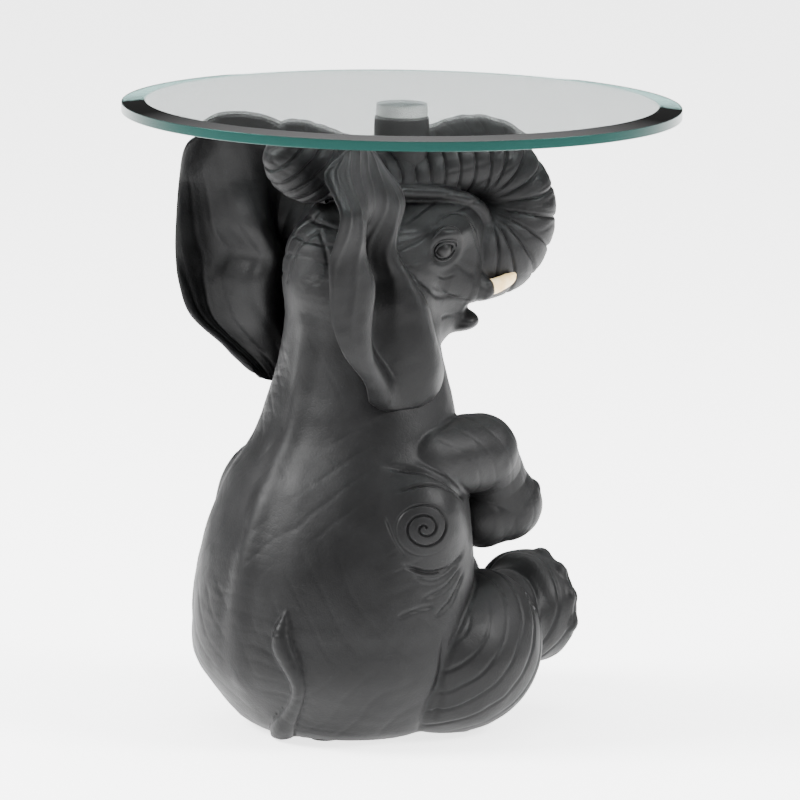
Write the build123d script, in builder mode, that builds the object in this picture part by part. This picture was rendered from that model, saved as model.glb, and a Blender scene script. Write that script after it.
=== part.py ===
"""Side table: a seated elephant, cast in resin, that carries a round bevelled glass top.

The elephant sits on its rump with its hind legs spread, its forelegs lifted and its trunk curled
back over its head. A short peg on the trunk holds a brass insert. The glass has a steel hub
bonded under it, and the hub's stud screws into the insert.

Frame: +Z is up, the origin is on the floor under the centre of the glass, the elephant's body
faces -Y and its left side is +X. Its head is turned a little to its own right. Millimetres.
"""

from build123d import *
import os

# ---- Glass top and its fixing
GLASS_RADIUS = 228.6  # an 18 inch top
GLASS_THICK = 10.0
BEVEL_WIDE = 19.0
BEVEL_DROP = 2.0
TABLE_HEIGHT = 510.0
GLASS_UNDER = TABLE_HEIGHT - GLASS_THICK
EDGE_SOFTEN = 0.6

FILM_THICK = 0.2
HUB_RADIUS = 21.0
HUB_HEIGHT = 10.0
HUB_TOP = GLASS_UNDER - FILM_THICK
HUB_UNDER = GLASS_UNDER - HUB_HEIGHT
SEAT_GAP = 0.2  # between the hub and the peg

STUD_RADIUS = 5.0
RUN_CLEAR = 0.05  # radial running clearance of the stud
HUB_BORE_DEEP = 7.2
STUD_TOP_GAP = 0.2
THREAD_ENGAGED = 13.5  # nine turns of a 1.5 mm pitch

PEG_RADIUS = 22.5
PEG_TOP = HUB_UNDER - SEAT_GAP
PEG_UNDER = 452.0
PEG_SOFTEN = 2.0
INSERT_RADIUS = 8.0
INSERT_DEEP = 20.0

# ---- Castings
WALL = 8.0
PAD_THICK = 2.0
BASE = PAD_THICK  # underside of the castings
HEAD_TURN = 10.0  # degrees to the elephant's right
NECK_JOINT = 345.0  # where the head casting sits on the torso

# Torso, as level ellipses: height, forward place of the centre, half length, half width
TORSO = [
    (BASE, -68, 64, 74),
    (9, -68, 72, 83),
    (24, -69, 83, 96),
    (42, -71, 93, 108),
    (73, -73, 101, 117),
    (106, -71, 102, 118),
    (140, -67, 100, 116),
    (173, -63, 95, 109),
    (206, -57, 88, 100),
    (239, -46, 79, 87),
    (269, -43, 72, 79),
    (300, -42, 65, 70),
    (NECK_JOINT, -46, 60, 58),
]
# Head, in the turned frame: the same four numbers
HEAD = [
    (NECK_JOINT, -42, 60, 56),
    (368, -34, 70, 57),
    (390, -30, 73, 58),
    (410, -32, 68, 54),
    (425, -36, 56, 44),
    (435, -40, 34, 26),
]
CHEEK = (34, 378)  # forward, height
CHEEK_RINGS = [(-46, 12), (-36, 30), (-20, 37), (0, 39.5), (20, 37), (36, 30), (46, 12)]  # left, radius
JAW = [(30, 338, 28), (52, 332, 19), (80, 324, 3)]  # forward, height, radius

# Trunk centre line, in the turned frame: forward, height, radius
TRUNK = [
    (40, 384, 42),
    (73, 386, 41),
    (96, 393, 38),
    (107, 406, 35.5),
    (110, 418, 34),
    (106, 432, 32.5),
    (96, 446, 31),
    (80, 455, 29.5),
    (60, 457, 28),
    (30, 452, 27),
    (0, 448, 26),
    (-32, 447, 25),
    (-62, 453, 24),
    (-86, 463, 22.5),
    (-104, 466, 21),
    (-116, 458, 20),
    (-117, 446, 18.5),
    (-107, 437, 17),
    (-94, 433, 15.5),
]
# Tusk centre line, in the turned frame: forward, out, height, radius
TUSK = [
    (38, 33, 358, 7),
    (50, 38, 356, 7),
    (62, 41, 357, 6.6),
    (73, 43, 361, 5.8),
    (81, 43, 364, 4.6),
    (86, 42, 367, 1.8),
]

# Ear, in the turned frame, as thin curved strips: height, then root, middle and rim as (forward, out)
EAR = [
    (280, (-40, 80), (-58, 86), (-78, 86)),
    (300, (-22, 78), (-62, 94), (-104, 101)),
    (330, (-22, 74), (-74, 102), (-132, 112)),
    (370, (-42, 62), (-82, 100), (-146, 114)),
    (405, (-46, 52), (-82, 94), (-147, 111)),
    (440, (-44, 46), (-78, 84), (-140, 106)),
    (470, (-44, 44), (-72, 74), (-126, 99)),
    (490, (-54, 52), (-76, 68), (-108, 86)),
]
EAR_THICK = 8.0

# Hind leg: thigh, shank and foot, on the body's side of +X
THIGH_CENTRE = (-14, 74, 62)  # forward, out, height
THIGH_LONG, THIGH_SHORT = 80.0, 66.0
THIGH_SPLAY = 22.0  # degrees outwards from straight ahead
SHANK_FROM = (22, 84, 76)
SOLE_CENTRE = (116, 54, 86)
FOOT_RADIUS, FOOT_LONG, SHANK_RADIUS = 46.0, 36.0, 41.0
FOOT_SOFTEN = 12.0

# Foreleg: shoulder, wrist and paw as (forward, out, height)
SHOULDER, SHOULDER_RADIUS = (-40, 64, 243), 34.0
WRIST, WRIST_RADIUS = (30, 64, 219), 29.0
PAW, PAW_RADIUS = (68, 62, 174), 32.0

# Tail, curled up the right flank: forward, left, height, radius
TAIL = [
    (-126, -6, 14, 10),
    (-143, -28, 22, 8.5),
    (-152, -46, 40, 6.5),
    (-159, -52, 62, 5.2),
    (-166, -47, 82, 8),
    (-167, -46, 98, 6.5),
    (-166, -48, 112, 2),
]

# Closing plate and floor pads
PLATE_THICK = 6.0
PAD_RADIUS = 11.0
REAR_PAD = (-108, 30)  # forward, out
FRONT_PAD = (-4, 78)

BODY = Plane.XY
TURNED = Plane.XY.rotated((0, 0, -HEAD_TURN))


def spot(frame, forward, left, height):
    """A point in the row frame, from its place ahead, to the left and up in a frame."""
    return frame.from_local_coords(Vector(left, -forward, height))


def heading(frame, forward, left, height):
    """A direction in the row frame."""
    return spot(frame, forward, left, height) - spot(frame, 0, 0, 0)


def ring(frame, height, forward, half_long, half_wide):
    """One level ellipse of a loft."""
    with BuildSketch(frame.offset(height)) as outline:
        with Locations((0, -forward)):
            Ellipse(half_wide, half_long)
    return outline.sketch


def path_plane(frame, before, here, after):
    """The plane across a path at one of its points, between its neighbours."""
    along = (spot(frame, *after) - spot(frame, *before)).normalized()
    side = heading(frame, 0, 1, 0)
    if abs(along.dot(side)) > 0.9:
        side = heading(frame, 1, 0, 0)
    return Plane(spot(frame, *here), x_dir=side - along * along.dot(side), z_dir=along)


def tube(frame, path):
    """A round solid lofted along a path of (forward, left, height, radius)."""
    last = len(path) - 1
    rings = []
    for i, (*here, radius) in enumerate(path):
        before, after = path[max(i - 1, 0)][:3], path[min(i + 1, last)][:3]
        with BuildSketch(path_plane(frame, before, here, after)) as outline:
            Circle(radius)
        rings.append(outline.sketch)
    with BuildPart() as solid:
        loft(sections=rings)
    return solid.part


def egg(centre, along, long_half, short_half):
    """An ellipsoid of revolution about the direction along."""
    flat = Plane(centre, x_dir=along, z_dir=along.cross(Vector(0, 0, 1)))
    with BuildPart() as solid:
        with BuildSketch(flat):
            Ellipse(long_half, short_half)
            with Locations((0, -short_half)):
                Rectangle(2 * long_half, 2 * short_half, mode=Mode.SUBTRACT)
        revolve(axis=Axis(centre, along))
    return solid.part


def bar(start, end, radius):
    """A round bar between two points."""
    with BuildPart() as solid:
        with BuildSketch(Plane(start, z_dir=(end - start).normalized())):
            Circle(radius)
        extrude(amount=(end - start).length)
    return solid.part


def limb(start, end, radius):
    """A round bar with ball ends."""
    with BuildPart() as solid:
        add(bar(start, end, radius))
        with Locations(start, end):
            Sphere(radius)
    return solid.part


def save(part, name):
    """Labels a finished piece and writes it as parts/NAME.step."""
    part.label = name
    export_step(part, f"parts/{name}.step")


os.makedirs("parts", exist_ok=True)

# ---- Torso: a hollow casting, open at its base and neck
with BuildPart() as torso_body:
    loft(sections=[ring(BODY, *level) for level in TORSO])

with BuildPart() as torso_space:
    loft(sections=[ring(BODY, z, forward, a - WALL, b - WALL) for z, forward, a, b in TORSO])

with BuildPart() as torso_shell:
    add(torso_body.part)
    add(torso_space.part, mode=Mode.SUBTRACT)

# ---- Head: a hollow casting with its cheeks and open lower jaw
cheek_path = [(CHEEK[0], left, CHEEK[1], radius) for left, radius in CHEEK_RINGS]
jaw_path = [(forward, 0, height, radius) for forward, height, radius in JAW]

with BuildPart() as head_body:
    loft(sections=[ring(TURNED, *level) for level in HEAD])
    add(tube(TURNED, cheek_path))
    add(tube(TURNED, jaw_path))

with BuildPart() as head_space:
    loft(sections=[ring(TURNED, z, forward, a - WALL, b - WALL) for z, forward, a, b in HEAD])

with BuildPart() as head:
    add(head_body.part)
    add(head_space.part, mode=Mode.SUBTRACT)
    add(torso_body.part, mode=Mode.SUBTRACT)

# ---- Trunk, resting on the head, with the peg that carries the glass
with BuildPart() as trunk_body:
    add(tube(TURNED, [(forward, 0, height, radius) for forward, height, radius in TRUNK]))

with BuildPart() as trunk:
    add(trunk_body.part)
    add(head_body.part, mode=Mode.SUBTRACT)
    add(torso_body.part, mode=Mode.SUBTRACT)

with BuildPart() as support_peg:
    with BuildSketch(BODY.offset(PEG_UNDER)):
        Circle(PEG_RADIUS)
    extrude(amount=PEG_TOP - PEG_UNDER)
    fillet(support_peg.edges().sort_by(Axis.Z)[-1], PEG_SOFTEN)
    with BuildSketch(BODY.offset(PEG_TOP)):
        Circle(INSERT_RADIUS)
    extrude(amount=-INSERT_DEEP, mode=Mode.SUBTRACT)
    add(trunk_body.part, mode=Mode.SUBTRACT)

with BuildPart() as insert_space:
    with BuildSketch(BODY.offset(PEG_TOP)):
        Circle(INSERT_RADIUS)
    extrude(amount=-INSERT_DEEP)

with BuildPart() as trunk_bored:
    add(trunk.part)
    add(insert_space.part, mode=Mode.SUBTRACT)

with BuildPart() as thread_insert:
    add(insert_space.part)
    with BuildSketch(BODY.offset(PEG_TOP)):
        Circle(STUD_RADIUS + RUN_CLEAR)
    extrude(amount=-INSERT_DEEP, mode=Mode.SUBTRACT)

# ---- Glass top, the bonding film, the hub and its stud
with BuildPart() as glass_top:
    with BuildSketch(Plane.XZ):
        with BuildLine():
            Polyline(
                (0, GLASS_UNDER),
                (GLASS_RADIUS - EDGE_SOFTEN, GLASS_UNDER),
                (GLASS_RADIUS, GLASS_UNDER + EDGE_SOFTEN),
                (GLASS_RADIUS, TABLE_HEIGHT - BEVEL_DROP),
                (GLASS_RADIUS - BEVEL_WIDE, TABLE_HEIGHT),
                (0, TABLE_HEIGHT),
                close=True,
            )
        make_face()
    revolve(axis=Axis.Z)

with BuildPart() as bond_film:
    with BuildSketch(BODY.offset(HUB_TOP)):
        Circle(HUB_RADIUS - EDGE_SOFTEN)
    extrude(amount=FILM_THICK)

with BuildPart() as hub_disc:
    with BuildSketch(BODY.offset(HUB_UNDER)):
        Circle(HUB_RADIUS)
    extrude(amount=HUB_TOP - HUB_UNDER)
    chamfer(hub_disc.edges().filter_by(GeomType.CIRCLE), EDGE_SOFTEN)
    with BuildSketch(BODY.offset(HUB_UNDER)):
        Circle(STUD_RADIUS + RUN_CLEAR)
    extrude(amount=HUB_BORE_DEEP, mode=Mode.SUBTRACT)

with BuildPart() as threaded_stud:
    with BuildSketch(BODY.offset(PEG_TOP - THREAD_ENGAGED)):
        Circle(STUD_RADIUS)
    extrude(amount=HUB_UNDER + HUB_BORE_DEEP - STUD_TOP_GAP - (PEG_TOP - THREAD_ENGAGED))
    chamfer(threaded_stud.edges().filter_by(GeomType.CIRCLE), EDGE_SOFTEN)

save(torso_shell.part, "torso_shell")
save(head.part, "head")
save(trunk_bored.part, "trunk")
save(support_peg.part, "support_peg")
save(thread_insert.part, "thread_insert")
save(glass_top.part, "glass_top")
save(bond_film.part, "bond_film")
save(hub_disc.part, "hub_disc")
save(threaded_stud.part, "threaded_stud")

# ---- Ears, tusks and legs, made once for each side
for side, word in ((1, "left"), (-1, "right")):
    with BuildPart() as ear:
        for height, root, middle, rim in EAR:
            outer, inner = [], []
            for forward, out in (root, middle, rim):
                outer.append((side * (out + EAR_THICK / 2), -forward))
                inner.append((side * (out - EAR_THICK / 2), -forward))
            with BuildSketch(TURNED.offset(height)):
                with BuildLine():
                    ThreePointArc(*outer)
                    Line(outer[2], inner[2])
                    ThreePointArc(*reversed(inner))
                    Line(inner[0], outer[0])
                make_face()
        loft()
        add(head_body.part, mode=Mode.SUBTRACT)
        add(torso_body.part, mode=Mode.SUBTRACT)
        add(trunk_body.part, mode=Mode.SUBTRACT)
    save(ear.part, f"{word}_ear")

    with BuildPart() as tusk:
        add(tube(TURNED, [(forward, side * out, height, radius) for forward, out, height, radius in TUSK]))
        add(head_body.part, mode=Mode.SUBTRACT)
        add(trunk_body.part, mode=Mode.SUBTRACT)
    save(tusk.part, f"{word}_tusk")

    with BuildPart() as foreleg:
        shoulder = spot(BODY, SHOULDER[0], side * SHOULDER[1], SHOULDER[2])
        wrist = spot(BODY, WRIST[0], side * WRIST[1], WRIST[2])
        paw = spot(BODY, PAW[0], side * PAW[1], PAW[2])
        with BuildSketch(Plane(shoulder, z_dir=(wrist - shoulder).normalized())):
            Circle(SHOULDER_RADIUS)
        with BuildSketch(Plane(wrist, z_dir=(wrist - shoulder).normalized())):
            Circle(WRIST_RADIUS)
        loft()
        with Locations(shoulder):
            Sphere(SHOULDER_RADIUS)
        add(limb(wrist, paw, WRIST_RADIUS))
        with Locations(paw):
            Sphere(PAW_RADIUS)
        add(torso_body.part, mode=Mode.SUBTRACT)
        add(ear.part, mode=Mode.SUBTRACT)
    save(foreleg.part, f"{word}_foreleg")

    thigh_centre = spot(BODY, THIGH_CENTRE[0], side * THIGH_CENTRE[1], THIGH_CENTRE[2])
    thigh_along = heading(BODY, 1, 0, 0).rotate(Axis.Z, side * THIGH_SPLAY)
    knee = spot(BODY, SHANK_FROM[0], side * SHANK_FROM[1], SHANK_FROM[2])
    sole = spot(BODY, SOLE_CENTRE[0], side * SOLE_CENTRE[1], SOLE_CENTRE[2])
    ankle = sole + heading(BODY, -FOOT_LONG, 0, 0)

    with BuildPart() as foot:
        add(bar(ankle, sole, FOOT_RADIUS))
        fillet(foot.edges().filter_by(GeomType.CIRCLE).sort_by(Axis.Y)[0], FOOT_SOFTEN)

    with BuildPart() as thigh_space:
        add(egg(thigh_centre, thigh_along, THIGH_LONG - WALL, THIGH_SHORT - WALL))
        split(bisect_by=BODY.offset(BASE + WALL), keep=Keep.TOP)

    with BuildPart() as hind_leg:
        add(egg(thigh_centre, thigh_along, THIGH_LONG, THIGH_SHORT))
        add(limb(knee, ankle, SHANK_RADIUS))
        add(foot.part)
        split(bisect_by=BODY.offset(BASE), keep=Keep.TOP)
        add(thigh_space.part, mode=Mode.SUBTRACT)
        add(torso_body.part, mode=Mode.SUBTRACT)
    save(hind_leg.part, f"{word}_hind_leg")

# ---- Tail, a low relief on the rump
with BuildPart() as tail:
    add(tube(BODY, TAIL))
    add(torso_body.part, mode=Mode.SUBTRACT)
    split(bisect_by=BODY.offset(BASE), keep=Keep.TOP)
save(tail.part, "tail")

# ---- Plate that closes the torso's open base, and the four pads that stand on the floor
_, plate_forward, plate_long, plate_wide = TORSO[0]

with BuildPart() as base_plate:
    with BuildSketch(BODY.offset(BASE)):
        with Locations((0, -plate_forward)):
            Ellipse(plate_wide - WALL, plate_long - WALL)
    extrude(amount=PLATE_THICK)
save(base_plate.part, "base_plate")

pad_places = [(side * out, -forward) for forward, out in (REAR_PAD, FRONT_PAD) for side in (-1, 1)]
with BuildPart() as floor_pads:
    with BuildSketch(BODY):
        with Locations(*pad_places):
            Circle(PAD_RADIUS)
    extrude(amount=PAD_THICK)
save(floor_pads.part, "floor_pads")
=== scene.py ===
# %% [markdown]
# # A side table carried by a seated elephant
#
# The real table is a hollow resin casting of a seated elephant. It is finished in matt charcoal, and a
# round bevelled glass top is screwed to a peg on its curled trunk. The CAD model gives the size and the
# place of every part. This file gives the looks: it sculpts the skin, cuts the wrinkles, bends the ears
# and paints every surface.

import math

import bpy
import numpy as np
from mathutils import Matrix, Vector


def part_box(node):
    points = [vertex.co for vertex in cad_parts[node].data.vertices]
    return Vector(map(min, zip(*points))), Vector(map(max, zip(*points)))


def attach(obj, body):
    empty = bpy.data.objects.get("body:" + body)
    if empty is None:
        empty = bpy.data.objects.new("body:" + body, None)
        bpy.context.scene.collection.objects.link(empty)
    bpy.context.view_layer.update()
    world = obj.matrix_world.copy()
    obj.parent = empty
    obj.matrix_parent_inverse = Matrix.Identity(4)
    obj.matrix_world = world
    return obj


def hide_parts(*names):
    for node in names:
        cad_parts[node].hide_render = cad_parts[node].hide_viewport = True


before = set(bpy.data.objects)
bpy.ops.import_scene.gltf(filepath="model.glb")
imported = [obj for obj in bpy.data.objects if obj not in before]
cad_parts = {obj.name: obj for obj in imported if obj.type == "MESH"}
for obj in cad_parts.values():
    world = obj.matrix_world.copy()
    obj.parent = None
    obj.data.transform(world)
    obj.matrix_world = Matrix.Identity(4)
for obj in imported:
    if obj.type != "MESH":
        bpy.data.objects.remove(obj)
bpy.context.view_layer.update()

# %% [markdown]
# Lengths below are in millimetres, as on a workshop drawing, and turn into metres only when a mesh is
# made. Places on the animal read as forward, left and up, because that is how a sculptor thinks of it.
# The body faces the frame's -Y. The head is turned a little to the animal's right, so everything on the
# head goes through the same turn.

# %% Units and places on the animal
MM = 0.001
HEAD_TURN = math.radians(10.0)
glass_low, glass_high = (np.array(corner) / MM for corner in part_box("glass_top"))
TABLE_HEIGHT = glass_high[2]
GLASS_RADIUS = glass_high[0]
FLOOR_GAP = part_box("torso_shell")[0][2] / MM


def on_body(places):
    """Frame points (x, y, z, and any radius) from rows of (forward, left, up, and any radius)."""
    rows = np.array(places, float)
    rows[:, :2] = np.stack([rows[:, 1], -rows[:, 0]], axis=1)
    return rows


def on_head(places):
    """The same for the head: the body's place turned about the upright axis by the head's turn."""
    rows = on_body(places)
    c, s = math.cos(HEAD_TURN), -math.sin(HEAD_TURN)
    x, y = rows[:, 0].copy(), rows[:, 1].copy()
    rows[:, 0], rows[:, 1] = c * x - s * y, s * x + c * y
    return rows


def mirrored(places, side):
    """Rows of (forward, out, up, ...) put on the left (1) or the right (-1) of the animal."""
    rows = np.array(places, float)
    rows[:, 1] *= side
    return rows


def body_place(place, side=1):
    """One place on the body, on the left (1) or the right (-1)."""
    return on_body(mirrored([place], side))[0]


def head_place(place, side=1):
    """One place on the head, on the left (1) or the right (-1)."""
    return on_head(mirrored([place], side))[0]


print("table height", TABLE_HEIGHT, "glass radius", GLASS_RADIUS, "resin starts at", FLOOR_GAP)

# %% [markdown]
# Every piece is made the same way: a table of points, a table of faces, and whole arrays handed to
# Blender at once. Four sides to a face keeps the highlights even. Shared edge normals can be given, so
# that two pieces cut from one surface show no line where they meet.

# %% Turn arrays into a piece
def piece(name, points, faces, material, body, nodes=(), normals=None):
    """Makes a smooth mesh from points in millimetres and a list of face arrays, and rides it on a body."""
    mesh = bpy.data.meshes.new(name)
    mesh.vertices.add(len(points))
    mesh.vertices.foreach_set("co", (np.asarray(points, float) * MM).ravel())
    corners = np.concatenate([f.ravel() for f in faces]).astype(np.int32)
    sides = np.concatenate([np.full(len(f), f.shape[1]) for f in faces])
    mesh.loops.add(len(corners))
    mesh.loops.foreach_set("vertex_index", corners)
    mesh.polygons.add(len(sides))
    mesh.polygons.foreach_set("loop_start", (np.cumsum(sides) - sides).astype(np.int32))
    mesh.polygons.foreach_set("use_smooth", np.ones(len(sides), bool))
    mesh.update(calc_edges=True)
    if normals is not None:
        mesh.normals_split_custom_set_from_vertices(normals.tolist())
    mesh.materials.append(material)
    thing = bpy.data.objects.new(name, mesh)
    bpy.context.scene.collection.objects.link(thing)
    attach(thing, body)
    if nodes:
        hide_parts(*nodes)
    print(f"{name}: {len(points)} points, {len(sides)} faces")


# %% [markdown]
# ## Shader arithmetic
#
# A procedural finish is arithmetic on positions. Wrapping a socket in a small class lets that
# arithmetic be written with + and *, and one method makes any other node from its type, its settings
# and its inputs.

# %% A wrapper for numbers in a material
class Number:
    """A number that varies over a surface, held as a node's output socket."""

    def __init__(self, finish, socket):
        self.finish, self.socket = finish, socket

    def apply(self, operation, *others):
        inputs = dict(enumerate((self, *others)))
        return self.finish.node("ShaderNodeMath", {"operation": operation}, inputs)

    def __add__(self, other):
        return self.apply("ADD", other)

    def __mul__(self, other):
        return self.apply("MULTIPLY", other)

    def __pow__(self, other):
        return self.apply("POWER", other)

    __radd__, __rmul__ = __add__, __mul__

    def step(self, low, high):
        """0 below low, 1 above high, and a smooth rise between."""
        settings = {"interpolation_type": "SMOOTHSTEP"}
        return self.finish.node("ShaderNodeMapRange", settings, {0: self, 1: low, 2: high})


class Finish:
    """A material under construction, with its Principled shader and its object coordinates."""

    def __init__(self, name, **constants):
        self.material = bpy.data.materials.new(name)
        self.material.use_nodes = True
        self.tree = self.material.node_tree
        self.shader = self.tree.nodes["Principled BSDF"]
        for key, value in constants.items():
            self.shader.inputs[key.replace("_", " ")].default_value = value
        self.place = self.node("ShaderNodeTexCoord", {}, {}, "Object")

    def node(self, kind, settings, inputs, output=0):
        """Makes a node, sets it, feeds it numbers or wrapped sockets, and wraps one of its outputs."""
        made_node = self.tree.nodes.new(kind)
        for key, value in settings.items():
            setattr(made_node, key, value)
        for key, value in inputs.items():
            if isinstance(value, Number):
                self.tree.links.new(value.socket, made_node.inputs[key])
            else:
                made_node.inputs[key].default_value = value
        return Number(self, made_node.outputs[output])

    def noise(self, scale, detail=2.0, place=None, rough=0.5):
        inputs = {"Vector": place or self.place, "Scale": scale, "Detail": detail, "Roughness": rough}
        return self.node("ShaderNodeTexNoise", {}, inputs)

    def stretched(self, scale):
        """Object coordinates scaled differently along each axis."""
        return self.node("ShaderNodeMapping", {}, {"Vector": self.place, "Scale": scale})

    def blend(self, amount, low, high):
        """A colour between low and high."""
        settings = {"data_type": "RGBA"}
        return self.node("ShaderNodeMix", settings, {0: amount, 6: low, 7: high}, 2)

    def feed(self, **inputs):
        """Links numbers or colours that vary into the shader."""
        for key, value in inputs.items():
            self.tree.links.new(value.socket, self.shader.inputs[key.replace("_", " ")])

    def bump(self, height, distance, strength=1.0):
        """Turns a height into small relief, in millimetres."""
        settings = {"Height": height, "Distance": distance * MM, "Strength": strength}
        self.feed(Normal=self.node("ShaderNodeBump", {}, settings))


# %% [markdown]
# The resin is poured with a dark pigment and wiped with a thin charcoal glaze. It is nearly black and
# matt, with a faint sheen where hands have rubbed it. Three scales of relief cover what is too fine to
# sculpt: pores, hair-thin cracks between skin cells, and a soft unevenness.

# %% Charcoal resin
resin_finish = Finish("charcoal_resin", Specular_IOR_Level=0.16)
cells = resin_finish.node(
    "ShaderNodeTexVoronoi", {"feature": "DISTANCE_TO_EDGE"}, {"Vector": resin_finish.place, "Scale": 260.0}
)
pores = resin_finish.noise(1400.0, 3.0)
clouds = resin_finish.noise(24.0, 3.0)
fine = cells.step(0.0, 0.16) * 0.35 + pores * 0.5 + resin_finish.noise(210.0, 3.0) * 0.6
resin_finish.bump(fine, 0.3, 0.4)
RESIN_DARK, RESIN_LIGHT = (0.0028, 0.0028, 0.0030, 1), (0.0050, 0.0050, 0.0053, 1)
resin_finish.feed(
    Base_Color=resin_finish.blend(clouds.step(0.3, 0.7), RESIN_DARK, RESIN_LIGHT),
    Roughness=clouds.step(0.25, 0.75) * 0.1 + pores * 0.1 + 0.4,
)
resin = resin_finish.material
print("resin nodes:", len(resin.node_tree.nodes))

# %% [markdown]
# ## Sculpting with distances
#
# A clay-like shape is easiest to describe by a number at every point of space: how far the point is
# from the skin, negative inside. Simple solids have simple formulas, and a soft minimum joins two of
# them with a fillet, as a thumb does in clay. The alternative is to push a cage of faces about by hand,
# which gives no smooth joins between trunk, head and limbs.

# %% Distances to simple solids
FAR = 60.0


def nearby(points, low, high):
    """Which points lie in a box grown by the reach of the soft joins."""
    reach = 45.0
    return np.all((points > low - reach) & (points < high + reach), axis=1)


def chain(points, path):
    """Distance to a string of balls joined by cones, and the place along it.

    For each link the nearest place t on its centre line is the dot product of the point with the link,
    over the link's length squared, held to 0..1. The distance is to that place less the radius there."""
    best, along = np.full(len(points), FAR), np.zeros(len(points))
    near = nearby(points, (path[:, :3] - path[:, 3:]).min(0), (path[:, :3] + path[:, 3:]).max(0))
    some, least, place, start = points[near], best[near], along[near], 0.0
    for a, b in zip(path[:-1], path[1:]):
        link = b[:3] - a[:3]
        length = np.linalg.norm(link)
        t = np.clip((some - a[:3]) @ link / length**2, 0, 1)
        gap = np.linalg.norm(some - a[:3] - t[:, None] * link, axis=1) - (a[3] + t * (b[3] - a[3]))
        place = np.where(gap < least, start + t * length, place)
        least = np.minimum(least, gap)
        start += length
    best[near], along[near] = least, place
    return best, along


def egg(points, centre, radii, turn=0.0):
    """Distance to an ellipsoid turned about the upright axis: q(q - 1) over the length of p / r squared,
    where q is the length of p / r."""
    best = np.full(len(points), FAR)
    near = nearby(points, centre[:3] - max(radii), centre[:3] + max(radii))
    p = points[near] - centre[:3]
    c, s = math.cos(turn), math.sin(turn)
    p = np.stack([c * p[:, 0] + s * p[:, 1], -s * p[:, 0] + c * p[:, 1], p[:, 2]], axis=1)
    radii = np.array(radii)
    q = np.linalg.norm(p / radii, axis=1)
    best[near] = q * (q - 1) / np.maximum(np.linalg.norm(p / radii**2, axis=1), 1e-9)
    return best


def soft(a, b, width):
    """The lesser of two distances, with a fillet where they are within width of each other."""
    h = np.clip(0.5 + 0.5 * (b - a) / width, 0, 1)
    return b * (1 - h) + a * h - width * h * (1 - h)


def smoothed(path, step=5.0, each=None):
    """A path through rows of numbers, rounded with Catmull-Rom's cubic: a row every few millimetres, or a
    fixed number of rows to each stretch."""
    path = np.asarray(path, float)
    padded = np.concatenate([2 * path[:1] - path[1:2], path, 2 * path[-1:] - path[-2:-1]])
    out = []
    for p0, p1, p2, p3 in zip(padded[:-3], padded[1:-2], padded[2:-1], padded[3:]):
        count = each or max(2, int(np.linalg.norm((p2 - p1)[:3]) / step))
        t = np.arange(count)[:, None] / count
        curve = 2 * p1 + (p2 - p0) * t + (2 * p0 - 5 * p1 + 4 * p2 - p3) * t**2
        out.append(0.5 * (curve + (3 * p1 - p0 - 3 * p2 + p3) * t**3))
    return np.concatenate(out + [path[-1:]])


# %% [markdown]
# ## The animal's measurements
#
# The torso is a stack of level ellipses. The trunk, the limbs and the tail are strings of
# balls. The numbers are the CAD model's own, with a few more where the skin needs them: the bulging
# elbow, the toes and the leaf-shaped tuft on the tail.

# %% Measurements
# Torso ellipses: height, forward place of the centre, half length, half width
TORSO = [
    (0, -64, 62, 70), (9, -66, 75, 85), (24, -68, 87, 99), (42, -71, 98, 110),
    (58, -73, 105, 117), (73, -73, 108, 120), (90, -72, 109, 121), (106, -71, 109, 121),
    (140, -68, 106, 119), (173, -64, 100, 113), (206, -57, 92, 103), (222, -52, 87, 96),
    (239, -47, 81, 89), (255, -45, 76, 84), (269, -44, 73, 80), (285, -43, 69, 75),
    (300, -43, 66, 70), (322, -44, 62, 66), (345, -46, 60, 61), (372, -50, 58, 54),
]
TRUNK = [
    (40, 0, 380, 42), (73, 0, 381, 41.5), (97, 0, 388, 41), (110, 0, 404, 38), (113, 0, 419, 35.5),
    (108, 0, 434, 33.5), (97, 0, 447, 31.5), (80, 0, 455, 29.5), (60, 0, 457, 28), (30, 0, 452, 27),
    (0, 0, 448, 26), (-32, 0, 448, 25), (-58, 0, 454, 24.5), (-82, 0, 463, 24), (-101, 0, 470, 23),
    (-109, 0, 470, 22.5), (-104, 0, 462, 22), (-95, 0, 455, 20.5), (-86, 0, 451, 18),
]
TORSO_TOP = 372
SKULL, SKULL_RADII = (-30, 0, 384), (57, 75, 52)
# The face, the brow and the nape: place, radii, and the width of the fillet that joins each
HEAD_SWELLS = [
    ((34, 0, 376), (46, 44, 41), 26),
    ((24, 0, 406), (46, 50, 33), 14),
    ((-50, 0, 424), (24, 34, 14), 8),
]
EYE_RIDGE, EYE_RIDGE_RADII = (12, 40, 408), (15, 24, 9)
CHIN, CHIN_RADII = (20, 0, 343), (36, 34, 35)
LIP, LIP_RADII = (51, 0, 328), (33, 19, 11)
CORD = [
    (-44, 24, 442, 5), (-20, 25, 440, 6), (8, 27, 438, 6.5), (30, 28, 434, 7), (48, 28, 428, 7),
    (62, 27, 418, 6.5), (68, 26, 408, 5),
]
SPINE = [
    (-164, 0, 60, 8), (-172, 0, 100, 7), (-168, 0, 140, 6), (-155, 0, 180, 5), (-136, 0, 215, 5),
    (-117, 0, 250, 4), (-105, 0, 290, 4), (-100, 0, 335, 4),
]
TAIL = [
    (-112, 6, 2, 9), (-132, -8, 8, 10), (-143, -22, 20, 9), (-150, -38, 34, 7),
    (-156, -50, 48, 5.8), (-158, -54, 60, 5.8), (-161, -51, 72, 7.5), (-164, -45, 84, 9.5),
    (-165, -43, 94, 9), (-166, -44, 105, 5.5), (-166, -46, 115, 1.2),
]
FORELEG = [
    (-40, 66, 226, 34), (-8, 70, 227, 33), (24, 71, 227, 32), (42, 66, 210, 27), (50, 64, 196, 28),
    (62, 64, 178, 31), (42, 60, 171, 27),
]
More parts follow.
